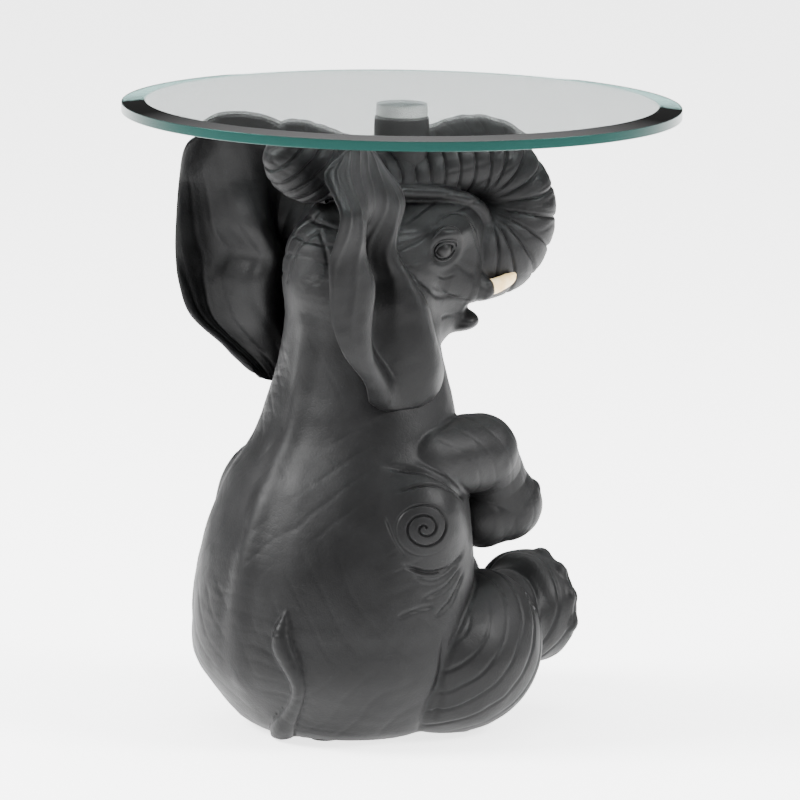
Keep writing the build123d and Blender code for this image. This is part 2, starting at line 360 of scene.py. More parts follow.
PAW_TOES, PAW_TOE_RADIUS = [(78, 80, 192), (82, 67, 195), (81, 53, 190)], 6.5
ELBOW, ELBOW_RADII = (-64, 88, 178), (36, 43, 48)
THIGH, THIGH_RADII = (-14, 74, 62), (63, 78, 63)
KNEE, KNEE_RADII = (20, 79, 78), (49, 49, 53)
SHANK = [(40, 72, 74, 38), (60, 62, 78, 38), (80, 58, 82, 40), (98, 56, 85, 42)]
SOLE, SOLE_RADIUS, SOLE_ROUND = (116, 54, 86), 46.0, 10
SOLE_TOE_ANGLES, SOLE_TOES_OUT, SOLE_TOE_RADII = (-12, 18, 48, 78), 39, (11, 9, 11)
SHEATH = [(22, 30, 366, 20), (42, 36, 360, 14), (55, 41, 357, 9.5)]
TUSK = [
    (38, 35, 359, 7), (50, 39, 357, 7), (62, 42, 358, 6.6), (73, 43, 361, 5.8), (81, 43, 364, 4.6),
    (86, 42, 367, 1.8),
]

trunk_path = on_head(smoothed(TRUNK))
spine_path = on_body(smoothed(SPINE))
torso_heights = np.linspace(0, TORSO_TOP, 187)
torso_table = smoothed(TORSO, 2.0)
torso_rings = [np.interp(torso_heights, torso_table[:, 0], torso_table[:, k]) for k in (1, 2, 3)]
print("trunk links:", len(trunk_path) - 1, "spine links:", len(spine_path) - 1)

# %% [markdown]
# The groups below are the castings of the CAD model. Each gives its own distance, so that the finished
# skin can be cut again into the same pieces.

# %% The distance to each casting
plate_low, plate_high = (np.array(corner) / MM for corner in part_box("base_plate"))
plate_middle, plate_half = (plate_low + plate_high) / 2, (plate_high - plate_low) / 2
plate_top = plate_high[2] + 1.5
EYE_PLACE = (8, 394)  # forward and height, on the head
SPIRAL, SPIRAL_PITCH = (-84, 117, 184), 9.6  # forward, out and height of its middle; gap between its turns


def barrel_gap(points):
    """Distance to the bare torso: level ellipses, then the spine and the elbow bulges joined on."""
    centre, long, wide = (np.interp(points[:, 2], torso_heights, ring) for ring in torso_rings)
    p = np.stack([points[:, 0], points[:, 1] + centre], axis=1)
    r = np.stack([wide, long], axis=1)
    q = np.linalg.norm(p / r, axis=1)
    side = q * (q - 1) / np.maximum(np.linalg.norm(p / r**2, axis=1), 1e-9)
    gap = -soft(-side, TORSO_TOP - points[:, 2], 20)
    gap = soft(gap, chain(points, spine_path)[0], 14)
    for out in (-1, 1):
        gap = soft(gap, egg(points, body_place(ELBOW, out), ELBOW_RADII), 11)
    return gap


def slope(gap, points, reach=0.4):
    """A distance and its gradient, from differences along each axis."""
    here = gap(points)
    steps = np.eye(3) * reach
    return here, np.stack([(gap(points + step) - here) / reach for step in steps], axis=1)


def settle(gap, points, rounds):
    """Newton's steps to where a distance is zero; returns the points and the outward directions."""
    for _ in range(rounds):
        here, lean = slope(gap, points)
        size = np.maximum((lean**2).sum(1), 0.2)
        points = points - np.clip(here / size, -3, 3)[:, None] * lean
    return points, lean / np.maximum(np.linalg.norm(lean, axis=1), 1e-9)[:, None]


def laid_on(gap, path, lift):
    """A path brought to the skin, each ball's middle raised by lift times its radius."""
    places, out = settle(gap, path[:, :3], 8)
    return np.concatenate([places + out * path[:, 3:] * lift, path[:, 3:]], axis=1)


tail_path = laid_on(barrel_gap, on_body(smoothed(TAIL)), 0.0)


def torso_gap(points):
    """Distance to the torso with its tail, which lies on the rump in relief."""
    return soft(barrel_gap(points), chain(points, tail_path)[0], 1.5)


def head_egg(points, place, radii, side=1):
    """Distance to an ellipsoid that turns with the head."""
    return egg(points, head_place(place, side), radii, -HEAD_TURN)


def lip_gap(points):
    """Distance to the pointed lower lip."""
    return head_egg(points, LIP, LIP_RADII)


def head_gap(points):
    """Distance to the skull, the face, the brow, the nape, the tusks' sheaths, the chin and the lip."""
    gap = head_egg(points, SKULL, SKULL_RADII)
    for place, radii, fillet in HEAD_SWELLS:
        gap = soft(gap, head_egg(points, place, radii), fillet)
    for out in (-1, 1):
        gap = soft(gap, head_egg(points, EYE_RIDGE, EYE_RIDGE_RADII, out), 12)
        gap = soft(gap, chain(points, on_head(mirrored(SHEATH, out)))[0], 9)
    gap = soft(gap, head_egg(points, CHIN, CHIN_RADII), 12)
    return soft(gap, lip_gap(points), 7)


def trunk_gap(points):
    """Distance to the trunk, with the smooth cord that runs along each lower edge."""
    gap = chain(points, trunk_path)[0]
    for cord in cords:
        gap = soft(gap, chain(points, cord)[0], 3)
    return gap


cords = [on_head(smoothed(mirrored(CORD, out))) for out in (-1, 1)]


def foreleg_gap(points, out):
    """Distance to one foreleg, with its toenails as small balls on the paw."""
    gap = chain(points, on_body(mirrored(FORELEG, out)))[0]
    for toe in on_body(mirrored(PAW_TOES, out)):
        gap = soft(gap, np.linalg.norm(points - toe, axis=1) - PAW_TOE_RADIUS, 3)
    return gap


def hind_leg_gap(points, out):
    """Distance to one hind leg: thigh, shank, a round sole that faces forward, and its toes."""
    gap = egg(points, body_place(THIGH, out), THIGH_RADII, out * math.radians(22))
    gap = soft(gap, egg(points, body_place(KNEE, out), KNEE_RADII), 14)
    gap = soft(gap, chain(points, on_body(mirrored(SHANK, out)))[0], 8)
    sole = body_place(SOLE, out)
    p = points - sole
    away = np.linalg.norm(p[:, [0, 2]], axis=1) - (SOLE_RADIUS - SOLE_ROUND)
    deep = np.abs(p[:, 1] - 16) - 8
    outside = np.linalg.norm(np.maximum(np.stack([away, deep], axis=1), 0), axis=1)
    rim = np.minimum(np.maximum(away, deep), 0) + outside
    gap = soft(gap, rim - SOLE_ROUND, 10)
    for angle in SOLE_TOE_ANGLES:
        a = math.radians(angle)
        across, up = out * SOLE_TOES_OUT * math.cos(a), SOLE_TOES_OUT * math.sin(a)
        gap = soft(gap, egg(points, sole + np.array([across, 7, up]), SOLE_TOE_RADII), 2)
    return gap


def castings(points):
    """The distance to every casting, as a table of name to distances."""
    return {
        "torso": torso_gap(points),
        "head": head_gap(points),
        "trunk": trunk_gap(points),
        "left_foreleg": foreleg_gap(points, 1),
        "right_foreleg": foreleg_gap(points, -1),
        "left_hind_leg": hind_leg_gap(points, 1),
        "right_hind_leg": hind_leg_gap(points, -1),
    }


def skin_gap(points):
    """Distance to the whole skin: the castings joined with fillets and cut flat at the base."""
    gaps = castings(points)
    gap = soft(gaps["torso"], gaps["head"], 22)
    for name in list(gaps)[2:]:
        gap = soft(gap, gaps[name], 5)
    plate = egg(points * (1, 1, 0), plate_middle * (1, 1, 0), tuple(plate_half[:2] + 0.3) + (1000.0,))
    pocket = np.maximum(plate, points[:, 2] - plate_top)
    return np.maximum(np.maximum(gap, FLOOR_GAP - points[:, 2]), -pocket)


# %% [markdown]
# ## From distances to faces
#
# Surface nets put one point in every small box that the skin passes through, at the mean of the places
# where it crosses the box's edges, and join the points of neighbouring boxes with four-sided faces.
# Marching cubes would do as well, but it leaves thin triangles that catch the light.

# %% Surface nets
NET_STEP = 3.6


def surface_net(gap, low, high, step):
    """Points and four-sided faces of the surface where gap is zero, inside a box."""
    axes = [np.arange(a, b + step, step) for a, b in zip(low, high)]
    shape = tuple(len(axis) for axis in axes)
    grid = np.stack(np.meshgrid(*axes, indexing="ij"), axis=-1).reshape(-1, 3)
    value = gap(grid).reshape(shape)
    inside = value < 0
    cells = tuple(n - 1 for n in shape)
    total, crossings = np.zeros(cells + (3,)), np.zeros(cells)
    for axis in range(3):
        others = [k for k in range(3) if k != axis]
        for offset in ((0, 0), (0, 1), (1, 0), (1, 1)):
            first = [slice(0, n) for n in cells]
            for k, o in zip(others, offset):
                first[k] = slice(o, o + cells[k])
            second = list(first)
            second[axis] = slice(1, 1 + cells[axis])
            a, b = value[tuple(first)], value[tuple(second)]
            cross = (a < 0) != (b < 0)
            t = np.where(cross, a / np.where(cross, a - b, 1), 0)
            total[..., axis] += t
            for k, o in zip(others, offset):
                total[..., k] += o * cross
            crossings += cross
    active = crossings > 0
    number = np.full(cells, -1)
    number[active] = np.arange(active.sum())
    corner = np.argwhere(active)
    points = low + (corner + total[active] / crossings[active][:, None]) * step
    faces = []
    for axis in range(3):
        b, c = (axis + 1) % 3, (axis + 2) % 3
        ahead = [slice(None)] * 3
        ahead[axis] = slice(1, None)
        behind = [slice(None)] * 3
        behind[axis] = slice(0, -1)
        flip = inside[tuple(behind)] != inside[tuple(ahead)]
        at = np.argwhere(flip)
        at = at[(at[:, b] > 0) & (at[:, c] > 0) & (at[:, b] < cells[b]) & (at[:, c] < cells[c])]
        quad = []
        for db, dc in ((-1, -1), (0, -1), (0, 0), (-1, 0)):
            q = at.copy()
            q[:, b] += db
            q[:, c] += dc
            quad.append(number[q[:, 0], q[:, 1], q[:, 2]])
        quad = np.stack(quad, axis=1)
        outward = inside[at[:, 0], at[:, 1], at[:, 2]]
        faces.append(np.where(outward[:, None], quad, quad[:, ::-1]))
    return points, np.concatenate(faces)


NET_LOW, NET_HIGH = np.array([-156.0, -180, -3]), np.array([156.0, 190, 494])
net_points, net_faces = surface_net(skin_gap, NET_LOW, NET_HIGH, NET_STEP)
print("net:", len(net_points), "points,", len(net_faces), "faces")

# %% [markdown]
# One split of every face into four gives room for wrinkles. The points then relax towards their
# neighbours, which evens the faces out, and slide back along the slope of the distance until it is zero.

# %% Split, relax and settle
def edges_of(faces):
    """The unique edges, and for each face the numbers of its four edges."""
    ends = np.stack([faces, np.roll(faces, -1, axis=1)], axis=2).reshape(-1, 2)
    pairs, back = np.unique(np.sort(ends, axis=1), axis=0, return_inverse=True)
    return pairs, back.reshape(faces.shape)


def split_faces(points, faces):
    """Each four-sided face becomes four, through the middles of its edges and its own middle."""
    pairs, edge = edges_of(faces)
    middles, centres = points[pairs].mean(1), points[faces].mean(1)
    edge = edge + len(points)
    centre = np.arange(len(faces)) + len(points) + len(pairs)
    quads = [np.stack([faces[:, k], edge[:, k], centre, edge[:, k - 1]], axis=1) for k in range(4)]
    return np.concatenate([points, middles, centres]), np.concatenate(quads)


def relax(points, faces, amount=0.6):
    """Moves each point towards the mean of its neighbours."""
    pairs, _ = edges_of(faces)
    total = np.zeros_like(points)
    count = np.bincount(pairs.ravel(), minlength=len(points))
    for k in range(3):
        total[:, k] = np.bincount(pairs[:, 0], points[pairs[:, 1], k], len(points))
        total[:, k] += np.bincount(pairs[:, 1], points[pairs[:, 0], k], len(points))
    return points + amount * (total / count[:, None] - points)


skin_points, skin_faces = split_faces(relax(net_points, net_faces), net_faces)
skin_points, skin_out = settle(skin_gap, relax(skin_points, skin_faces), 2)
print("skin:", len(skin_points), "points,", len(skin_faces), "faces")

# %% [markdown]
# ## Wrinkles, rings and eyelids
#
# The sculptor cuts these with a loop tool after the big shapes are right. Here each is a small height
# added along the outward direction: a rounded groove wherever some measured distance is near zero. Soft
# random waves bend the lines, so that none is ruler straight.

# %% Random waves and grooves
def waves(points, size, seed=0):
    """Smooth noise from -1 to 1: a random height at each corner of a lattice, eased between by 3f2 - 2f3."""
    q = points / size + seed * 17.3
    base = np.floor(q).astype(np.int64)
    f = q - base
    f = f * f * (3 - 2 * f)
    total = np.zeros(len(points))
    for corner in np.ndindex(2, 2, 2):
        x, y, z = ((base + corner) * (73856093, 19349663, 83492791)).T
        mixed = (x ^ y ^ z) & 0xFFFFFFFF
        mixed = ((mixed ^ (mixed >> 15)) * 2246822519) & 0xFFFFFFFF
        mixed = ((mixed ^ (mixed >> 13)) * 3266489917) & 0xFFFFFFFF
        share = np.prod(np.where(np.array(corner) == 1, f, 1 - f), axis=1)
        total += share * ((mixed >> 8) / 2**23 - 1)
    return total


def rise(value, low, high):
    """0 below low, 1 above high, smooth between."""
    t = np.clip((value - low) / (high - low), 0, 1)
    return t * t * (3 - 2 * t)


def groove(distance, depth, width):
    """A rounded cut: depth times e to the minus (distance over width) squared."""
    return -depth * np.exp(-((distance / width) ** 2))


def stripes(value, period, depth, width):
    """The same cut repeated every period of some measure."""
    return groove(np.abs((value / period) % 1 - 0.5) * period, depth, width)


def spiral(points, centre, outward, radius, pitch, depth, width):
    """A spiral cut: the distance from the middle, in pitches, less the angle in turns, is a whole number."""
    across = np.array([-outward[1], outward[0], 0]) / math.hypot(outward[0], outward[1])
    p = points - centre
    a, b = p @ across, p[:, 2] * 1.15
    r = np.hypot(a, b)
    turn = np.arctan2(b, a) / (2 * math.pi)
    cut = stripes(r / pitch - turn + 0.5, 1.0, depth, width / pitch)
    return cut * rise(-r, -radius, -radius + pitch) * (np.linalg.norm(p, axis=1) < radius * 2)


# %% [markdown]
# The eye sits where a level line out from the head meets the skin. Its lids are rings round that place.

# %% Where the eyes are
def eye_on_skin(side):
    """Walks outwards through the head by halving until the skin is found."""
    inner, outer = 10.0, 90.0
    for _ in range(24):
        middle = (inner + outer) / 2
        place = on_head([(EYE_PLACE[0], side * middle, EYE_PLACE[1])])
        inner, outer = (middle, outer) if head_gap(place)[0] < 0 else (inner, middle)
    return place[0]


eyes = {side: eye_on_skin(side) for side in (1, -1)}
print("eyes at", {side: eye.round(1).tolist() for side, eye in eyes.items()})

# %% The height of every wrinkle
ahead = on_head([(1, 0, 0)])[0]

# Cuts in the flank and the cheek, on one side: places to pass through, then depth and width
FLANK_CUTS = [
    ([(-99, 76, 231), (-70, 94, 224), (-46, 102, 206), (-10, 97, 199)], 3.4, 2.6),
    ([(-102, 96, 214), (-76, 112, 222), (-52, 112, 210), (-34, 108, 196)], 2.0, 1.2),
    ([(-110, 96, 196), (-106, 104, 176), (-98, 110, 160)], 1.6, 1.1),
    ([(-104, 106, 156), (-80, 115, 147), (-58, 116, 149), (-34, 110, 160)], 3.4, 1.9),
    ([(-96, 110, 146), (-72, 117, 139), (-42, 113, 151)], 2.6, 1.5),
    ([(-88, 114, 126), (-62, 118, 132), (-38, 113, 147)], 2.6, 1.6),
    ([(-76, 118, 110), (-54, 118, 122), (-34, 110, 142)], 2.6, 1.5),
    ([(-108, 104, 112), (-90, 112, 118), (-74, 116, 119)], 1.8, 1.2),
    ([(-62, 114, 100), (-64, 116, 70), (-60, 112, 40), (-56, 104, 14)], 2.0, 3.4),
]
HEAD_CUTS = [
    ([(-50, 46, 396), (-24, 52, 374), (-6, 50, 360), (14, 46, 355), (30, 42, 358)], 1.5, 2.4),
    ([(6, 44, 418), (18, 42, 422), (32, 38, 416), (42, 36, 404)], 1.3, 1.2),
    ([(30, 40, 412), (42, 38, 400), (48, 38, 386)], 1.0, 0.9),
    ([(44, 38, 408), (50, 38, 392), (52, 38, 376)], 1.0, 0.9),
    ([(-2, 50, 376), (8, 50, 371), (20, 47, 373)], 0.8, 1.0),
]
cuts = []
for frame_of, table in ((on_body, FLANK_CUTS), (on_head, HEAD_CUTS)):
    for places, depth, width in table:
        for side in (1, -1):
            line = smoothed(mirrored([(*place, 0) for place in places], side))
            cuts.append((laid_on(skin_gap, frame_of(line), 0.0), depth, width))
# The middle of the trunk's bend (forward, up), the rings round it, and the gap between rings elsewhere
TRUNK_BEND, RINGS_IN_BEND, RING_PITCH = (70, 421), 9, 14.4
# Where the curled tip begins, its middle (forward, up), and the gap between its rings
TIP_START, TIP_MIDDLE, TIP_PITCH = -78, (-98, 468), 12.5
HIP, KNEE_SPIRAL = (-95, 112, 150), (46, 106, 106)
bend_middle, tip_middle = (on_head([(place[0], 0, place[1])])[0] for place in (TRUNK_BEND, TIP_MIDDLE))


def ring_cuts(points, wobble):
    """Rings round the trunk: counted by angle round the bend, by length along the level run behind it,
    and along a slant of 45 degrees on the curled tip."""
    forward, up = (points - bend_middle) @ ahead, points[:, 2] - bend_middle[2]
    count = np.arctan2(up, np.maximum(forward, 0)) / math.pi * RINGS_IN_BEND
    count += np.sign(up) * np.maximum(-forward, 0) / RING_PITCH + wobble / RING_PITCH
    slant = ((points - tip_middle) @ ahead - (points[:, 2] - tip_middle[2])) * 0.7 + wobble
    on_tip = rise(-(points @ ahead), -TIP_START - 4, -TIP_START + 4)
    cut = []
    for value, pitch in ((count, RING_PITCH), (slant / TIP_PITCH, TIP_PITCH)):
        away = np.abs(value % 1 - 0.5) * pitch
        cut.append(groove(away, 1.9, 1.05) + 0.5 * rise(away, 0.5, 6))
    from_bend = np.hypot(forward, up)
    return (cut[0] * (1 - on_tip) + cut[1] * on_tip) * rise(from_bend, 8, 24)


def relief(points):
    """The height in millimetres to add along the outward direction at each point."""
    gaps = castings(points)
    others = np.minimum(gaps["head"], gaps["torso"])
    on_trunk = rise(others - gaps["trunk"], -1, 5)
    off_cord = rise(np.minimum.reduce([chain(points, cord)[0] for cord in cords]), 0.5, 4)
    legs = np.minimum.reduce([gaps[name] for name in gaps if name.endswith("leg")])
    on_torso = rise(np.minimum(legs, others + 1e3 * (gaps["head"] < gaps["torso"])) - gaps["torso"], -2, 6)
    on_leg = rise(np.minimum(others, gaps["trunk"]) - legs, -1, 6)
    x, y, z = points.T
    bend, small = waves(points, 48, 1), waves(points, 16, 2)
    patch, patch_b = waves(points, 60, 3), waves(points, 52, 4)

    height = on_trunk * off_cord * ring_cuts(points, 0.8 * bend + 0.25 * small)
    level = z + 8 * bend + 2 * small
    back = rise(y, -10, 60) * rise(-np.abs(x), -80, -30) * on_torso
    height += back * rise(patch, -0.3, 0.4) * stripes(level + 0.12 * np.abs(x), 13, 2.0, 1.6)
    height += back * rise(patch_b, -0.1, 0.4) * stripes(level * 1.1 - 0.15 * x + 6 * bend, 9, 1.1, 1.4)
    slant = z * 0.75 - np.abs(x) * 0.65 + y * 0.2 + 9 * bend + 1.5 * small
    height += on_torso * (1 - 0.9 * back) * rise(patch_b, -0.2, 0.4) * stripes(slant, 17, 2.1, 1.7)
    fold = z * 0.55 + np.abs(x) * 0.85 - y * 0.25 + 8 * waves(points, 38, 5)
    height += on_torso * rise(-patch_b, -0.1, 0.5) * stripes(fold, 21, 1.4, 1.7)
    hip = body_place(HIP)
    sweep = np.linalg.norm(np.stack([np.abs(x) - hip[0], y - hip[1], z - hip[2]], axis=1), axis=1)
    hind = rise(np.minimum(gaps["left_foreleg"], gaps["right_foreleg"]), 2, 12)
    thigh_folds = stripes(sweep + 5 * bend + small, 17, 1.0, 1.7)
    height += on_leg * (0.25 + 0.75 * hind) * rise(patch, -0.7, 0.1) * thigh_folds * rise(sweep, 30, 60)
    for a, b in (("trunk", "head"), ("left_foreleg", "torso"), ("right_foreleg", "torso")):
        both = rise(-np.maximum(gaps[a], gaps[b]), -5, -1)
        off_mouth = 1 - rise(-np.abs(z - 330), -18, -12)
        height += groove(gaps[a] - gaps[b], 1.6, 3.5) * both * rise(z, 100, 120) * off_mouth
    for name in ("left_hind_leg", "right_hind_leg"):
        both = rise(-np.maximum(gaps[name], gaps["torso"]), -5, -1)
        height += groove(gaps[name] - gaps["torso"], 1.8, 4) * both

    for line, depth, width in cuts:
        place = chain(points, line)[1] / chain(line[-1:, :3], line)[1]
        ends = rise(place, 0, 0.25) * rise(-place, -1, -0.8)
        height += groove(np.minimum(chain(points, line)[0], 20), depth, width) * ends
    for side, eye in eyes.items():
        p = points - eye
        a = (p @ ahead) / 9.5
        b = (z - eye[2] - 1.2 * a) / 6.8
        lid = np.hypot(a, b)
        near = np.linalg.norm(p, axis=1) < 46
        socket = -1.6 * rise(-lid, -1.5, -0.6) + 1.1 * np.exp(-(((lid - 1.9) / 0.45) ** 2))
        height = np.where(near, height * rise(lid, 1.6, 3.2) + socket, height)
        elbow = body_place(SPIRAL, side)
        clear = np.linalg.norm(points - elbow, axis=1)
        height *= rise(clear, 20, 34)
        height += spiral(points, elbow, (side * 0.85, 0.5), 28, SPIRAL_PITCH, 2.0, 1.0)
        height += spiral(points, body_place(KNEE_SPIRAL, side), (side * 0.8, -0.6), 13, 5.2, 1.3, 0.9)
    height *= rise(lip_gap(points), 1, 6)
    height += 0.8 * waves(points, 30, 7) + 0.25 * waves(points, 10, 8)
    return height * rise(z, FLOOR_GAP + 1, FLOOR_GAP + 9)


def directions(points, faces):
    """Outward directions at points: the crosses of face diagonals, which grow with area, added up."""
    total = np.zeros_like(points)
    for f in faces:
        cross = np.cross(points[f[:, 2]] - points[f[:, 0]], points[f[:, -1]] - points[f[:, 1]])
        for k in range(f.shape[1]):
            for axis in range(3):
                total[:, axis] += np.bincount(f[:, k], cross[:, axis], len(points))
    return total / np.maximum(np.linalg.norm(total, axis=1), 1e-12)[:, None]


cut_points = skin_points + skin_out * relief(skin_points)[:, None]
cut_normals = directions(cut_points, [skin_faces])
print("relief cut on", len(cut_points), "points")

# %% [markdown]
# ## Cut the skin into its castings
#
# Each face belongs to the casting it is nearest to. The torso keeps the skin's faces. The other castings
# carry finer cuts, so their faces are split once more before the relief goes on, and the round patch
# with the spiral at each elbow is split twice. The trunk's curled tip is a piece of its own, so that each
# part of the trunk has under 200,000 triangles, past which a printed mesh is thinned. Each cut is closed
# with a fan to one point inside, and along the cut a piece keeps the whole skin's directions.

# %% Cut and close the castings
# Piece: the castings in it, the CAD nodes it stands for, and how often its faces are split again
CASTINGS = {
    "torso_skin": (("torso",), ("torso_shell", "tail"), 0),
    "left_elbow_skin": (("left_elbow",), (), 2),
    "right_elbow_skin": (("right_elbow",), (), 2),
    "head_skin": (("head",), ("head",), 1),
    "trunk_skin": (("trunk",), ("trunk",), 1),
    "trunk_tip_skin": (("trunk_tip",), (), 1),
    "left_foreleg_skin": (("left_foreleg",), ("left_foreleg",), 1),
    "right_foreleg_skin": (("right_foreleg",), ("right_foreleg",), 1),
    "left_hind_leg_skin": (("left_hind_leg",), ("left_hind_leg",), 1),
    "right_hind_leg_skin": (("right_hind_leg",), ("right_hind_leg",), 1),
}
ELBOW_PATCH = 42


def loop_labels(edges, count):
    """The same number for all points joined by edges. Each takes its neighbours' least number, again and
    again, until none changes."""
    labels = np.arange(count)
    while True:
        least = labels[edges].min(axis=1)
        lower = labels.copy()
        np.minimum.at(lower, edges[:, 0], least)
        np.minimum.at(lower, edges[:, 1], least)
        lower = lower[lower]
        if (lower == labels).all():
            return labels
        labels = lower


face_middles = skin_points[skin_faces].mean(1)
face_gaps = castings(face_middles)
names = list(face_gaps) + ["left_elbow", "right_elbow", "trunk_tip"]
nearest = np.argmin(np.stack(list(face_gaps.values())), axis=0)
for name, side in (("left_elbow", 1), ("right_elbow", -1)):
    patch = np.linalg.norm(face_middles - body_place(SPIRAL, side), axis=1) < ELBOW_PATCH
    nearest[patch & (nearest == names.index("torso"))] = names.index(name)
curled = (face_middles @ ahead < TIP_START) & (nearest == names.index("trunk"))
nearest[curled] = names.index("trunk_tip")

for name, (groups, nodes, splits) in CASTINGS.items():
    mine = skin_faces[np.isin(nearest, [names.index(group) for group in groups])]
    used, flat = np.unique(mine, return_inverse=True)
    quads = flat.reshape(mine.shape)
    points, normals = cut_points[used], cut_normals[used]
    smooth_points = skin_points[used]
    for _ in range(splits):
        points, _ = split_faces(points, quads)
        normals, _ = split_faces(normals, quads)
        smooth_points, quads = split_faces(smooth_points, quads)
    if splits:
        smooth_points, out = settle(skin_gap, smooth_points, 1)
        fine_points = smooth_points + out * relief(smooth_points)[:, None]
        fine_normals = directions(fine_points, [quads])
    ends = np.stack([quads, np.roll(quads, -1, axis=1)], axis=2).reshape(-1, 2)
    key = np.sort(ends, axis=1) @ np.array([quads.max() + 1, 1])
    _, where, count = np.unique(key, return_index=True, return_counts=True)
    rim = ends[where[count == 1]]
    if splits:
        held = np.unique(rim)
        fine_points[held], fine_normals[held] = points[held], normals[held]
        points, normals = fine_points, fine_normals
    loops = loop_labels(rim, len(points))
    caps, middles = [], []
    for loop in np.unique(loops[rim[:, 0]]):
        edge = rim[loops[rim[:, 0]] == loop]
        middle = points[edge[:, 0]].mean(0)
        wide = np.linalg.norm(points[edge[:, 0]] - middle, axis=1).mean()
        middles.append(middle - normals[edge[:, 0]].mean(0) * wide * 0.8)
        caps.append(np.stack([edge[:, 1], edge[:, 0], np.full(len(edge), len(points) + len(caps))], axis=1))
    normals = np.concatenate([normals, np.zeros((len(middles), 3))])
    points = np.concatenate([points, middles])
    piece(name, points, [quads] + caps, resin, "base", nodes, normals)

# %% [markdown]
# ## Ears
#
# An ear is a thin sheet with a soft roll along its rear edge and a deep valley behind its front lobe.
# It is described by a few rows of places from the head out to the rim, smoothed both ways, then given
# a thickness that dies away at the edge, which rounds the rim and closes the shell.

# %% Ears
# Rows from the top down; in each, places (forward, out, up) from inside the head to the rim
EAR = [
    [(-66, 44, 474), (-72, 60, 480), (-84, 72, 487), (-100, 84, 490), (-118, 92, 489), (-132, 97, 482)],
    [(-58, 44, 462), (-62, 60, 466), (-76, 76, 470), (-98, 86, 471), (-122, 98, 471), (-145, 101, 470)],
    [(-44, 44, 440), (-47, 66, 441), (-64, 82, 441), (-90, 86, 441), (-116, 108, 441), (-140, 117, 441)],
    [(-50, 44, 406), (-55, 64, 405), (-68, 82, 405), (-92, 68, 405), (-112, 108, 405), (-146, 112, 405)],
    [(-44, 44, 380), (-48, 66, 380), (-56, 88, 380), (-80, 68, 380), (-106, 110, 380), (-146, 112, 380)],
    [(-24, 42, 356), (-26, 64, 356), (-46, 94, 356), (-84, 71, 356), (-110, 112, 356), (-143, 111, 356)],
    [(-14, 42, 328), (-14, 64, 326), (-40, 98, 326), (-80, 75, 326), (-106, 110, 326), (-131, 111, 328)],
    [(-16, 50, 306), (-10, 72, 302), (-34, 96, 298), (-64, 84, 298), (-86, 99, 298), (-104, 101, 302)],
    [(-22, 58, 288), (-14, 76, 283), (-34, 85, 275), (-56, 84, 272), (-74, 83, 274), (-87, 84, 282)],
]
EAR_HALF_THICK = 3.6


def thick_sheet(sheet, half, roughness):
    """A closed shell round a grid of points. Its half thickness is half times the root of
    1 - edge to the 8th, where edge runs from 0 in the middle of the sheet to 1 at its border."""
    rows, columns = sheet.shape[:2]
    down, over = np.gradient(sheet, axis=0), np.gradient(sheet, axis=1)
    out = np.cross(down, over)
    out /= np.linalg.norm(out, axis=2, keepdims=True)
    v, u = np.meshgrid(np.linspace(-1, 1, rows), np.linspace(-1, 1, columns), indexing="ij")
    edge = np.maximum(np.abs(u), np.abs(v))
    half = half * np.sqrt(np.clip(1 - edge**8, 0, 1))
    flat = sheet.reshape(-1, 3)
    rough = roughness(flat, u.ravel(), v.ravel()).reshape(rows, columns) * (half > 0)
    front = sheet + out * (half + rough)[..., None]
    rear = sheet - out * (half - rough)[..., None]
    index = np.arange(rows * columns).reshape(rows, columns)
    rear_index = index.copy()
    rear_index[1:-1, 1:-1] = rows * columns + np.arange((rows - 2) * (columns - 2)).reshape(rows - 2, -1)
    points = np.concatenate([front.reshape(-1, 3), rear[1:-1, 1:-1].reshape(-1, 3)])

    def quads(i):
        return np.stack([i[:-1, :-1], i[1:, :-1], i[1:, 1:], i[:-1, 1:]], axis=-1).reshape(-1, 4)

    return points, np.concatenate([quads(index), quads(rear_index)[:, ::-1]])


def ear_roughness(points, u, v):
    """Long creases that fan out towards the rim, and a soft unevenness."""
    fan = v * 60 + u * 14 * np.sign(v + 0.2) + 5 * waves(points, 40, 11)
    creases = stripes(fan, 13, 0.8, 1.8) * rise(u, -0.7, -0.2)
    return creases + 0.9 * waves(points, 22, 12) + 0.3 * waves(points, 8, 13)


for side, word in ((1, "left"), (-1, "right")):
    control = np.array(EAR, float)
    control[..., 1] *= side
    control = on_head(control.reshape(-1, 3)).reshape(len(EAR), -1)
    rows = smoothed(control, each=18)
    rows = rows.reshape(len(rows), -1, 3).transpose(1, 0, 2)
    sheet = smoothed(rows.reshape(rows.shape[0], -1), each=20).reshape(-1, rows.shape[1], 3)
    points, faces = thick_sheet(sheet[:, :: side], EAR_HALF_THICK, ear_roughness)
    normals = directions(points, [faces])
    piece(f"{word}_ear_skin", points, [faces], resin, "base", (f"{word}_ear",), normals)

# %% [markdown]
# ## Tusks and eyes
#
# The tusks are short cream stubs, painted by hand, with patches a little yellower. The eyes are small
# balls with a satin sheen, set behind the lids, and coloured darker than the resin round them: painted
# shade, where each eye sits deep in its socket. Each lid and each fold round the eye is a thin round bar
# that is laid on the skin along part of an oval.

# %% Round bars along a path
def ring_faces(rows, sides):
    """Faces between rings of points, and a fan at each end to one of two more points after the rings."""
    index = np.arange(rows * sides).reshape(rows, sides)
    after = np.roll(index, -1, axis=1)
    walls = np.stack([index[:-1], after[:-1], after[1:], index[1:]], axis=-1).reshape(-1, 4)
    start = np.stack([after[0], index[0], np.full(sides, index.size)], axis=1)
    end = np.stack([index[-1], after[-1], np.full(sides, index.size + 1)], axis=1)
    return [walls, start, end]


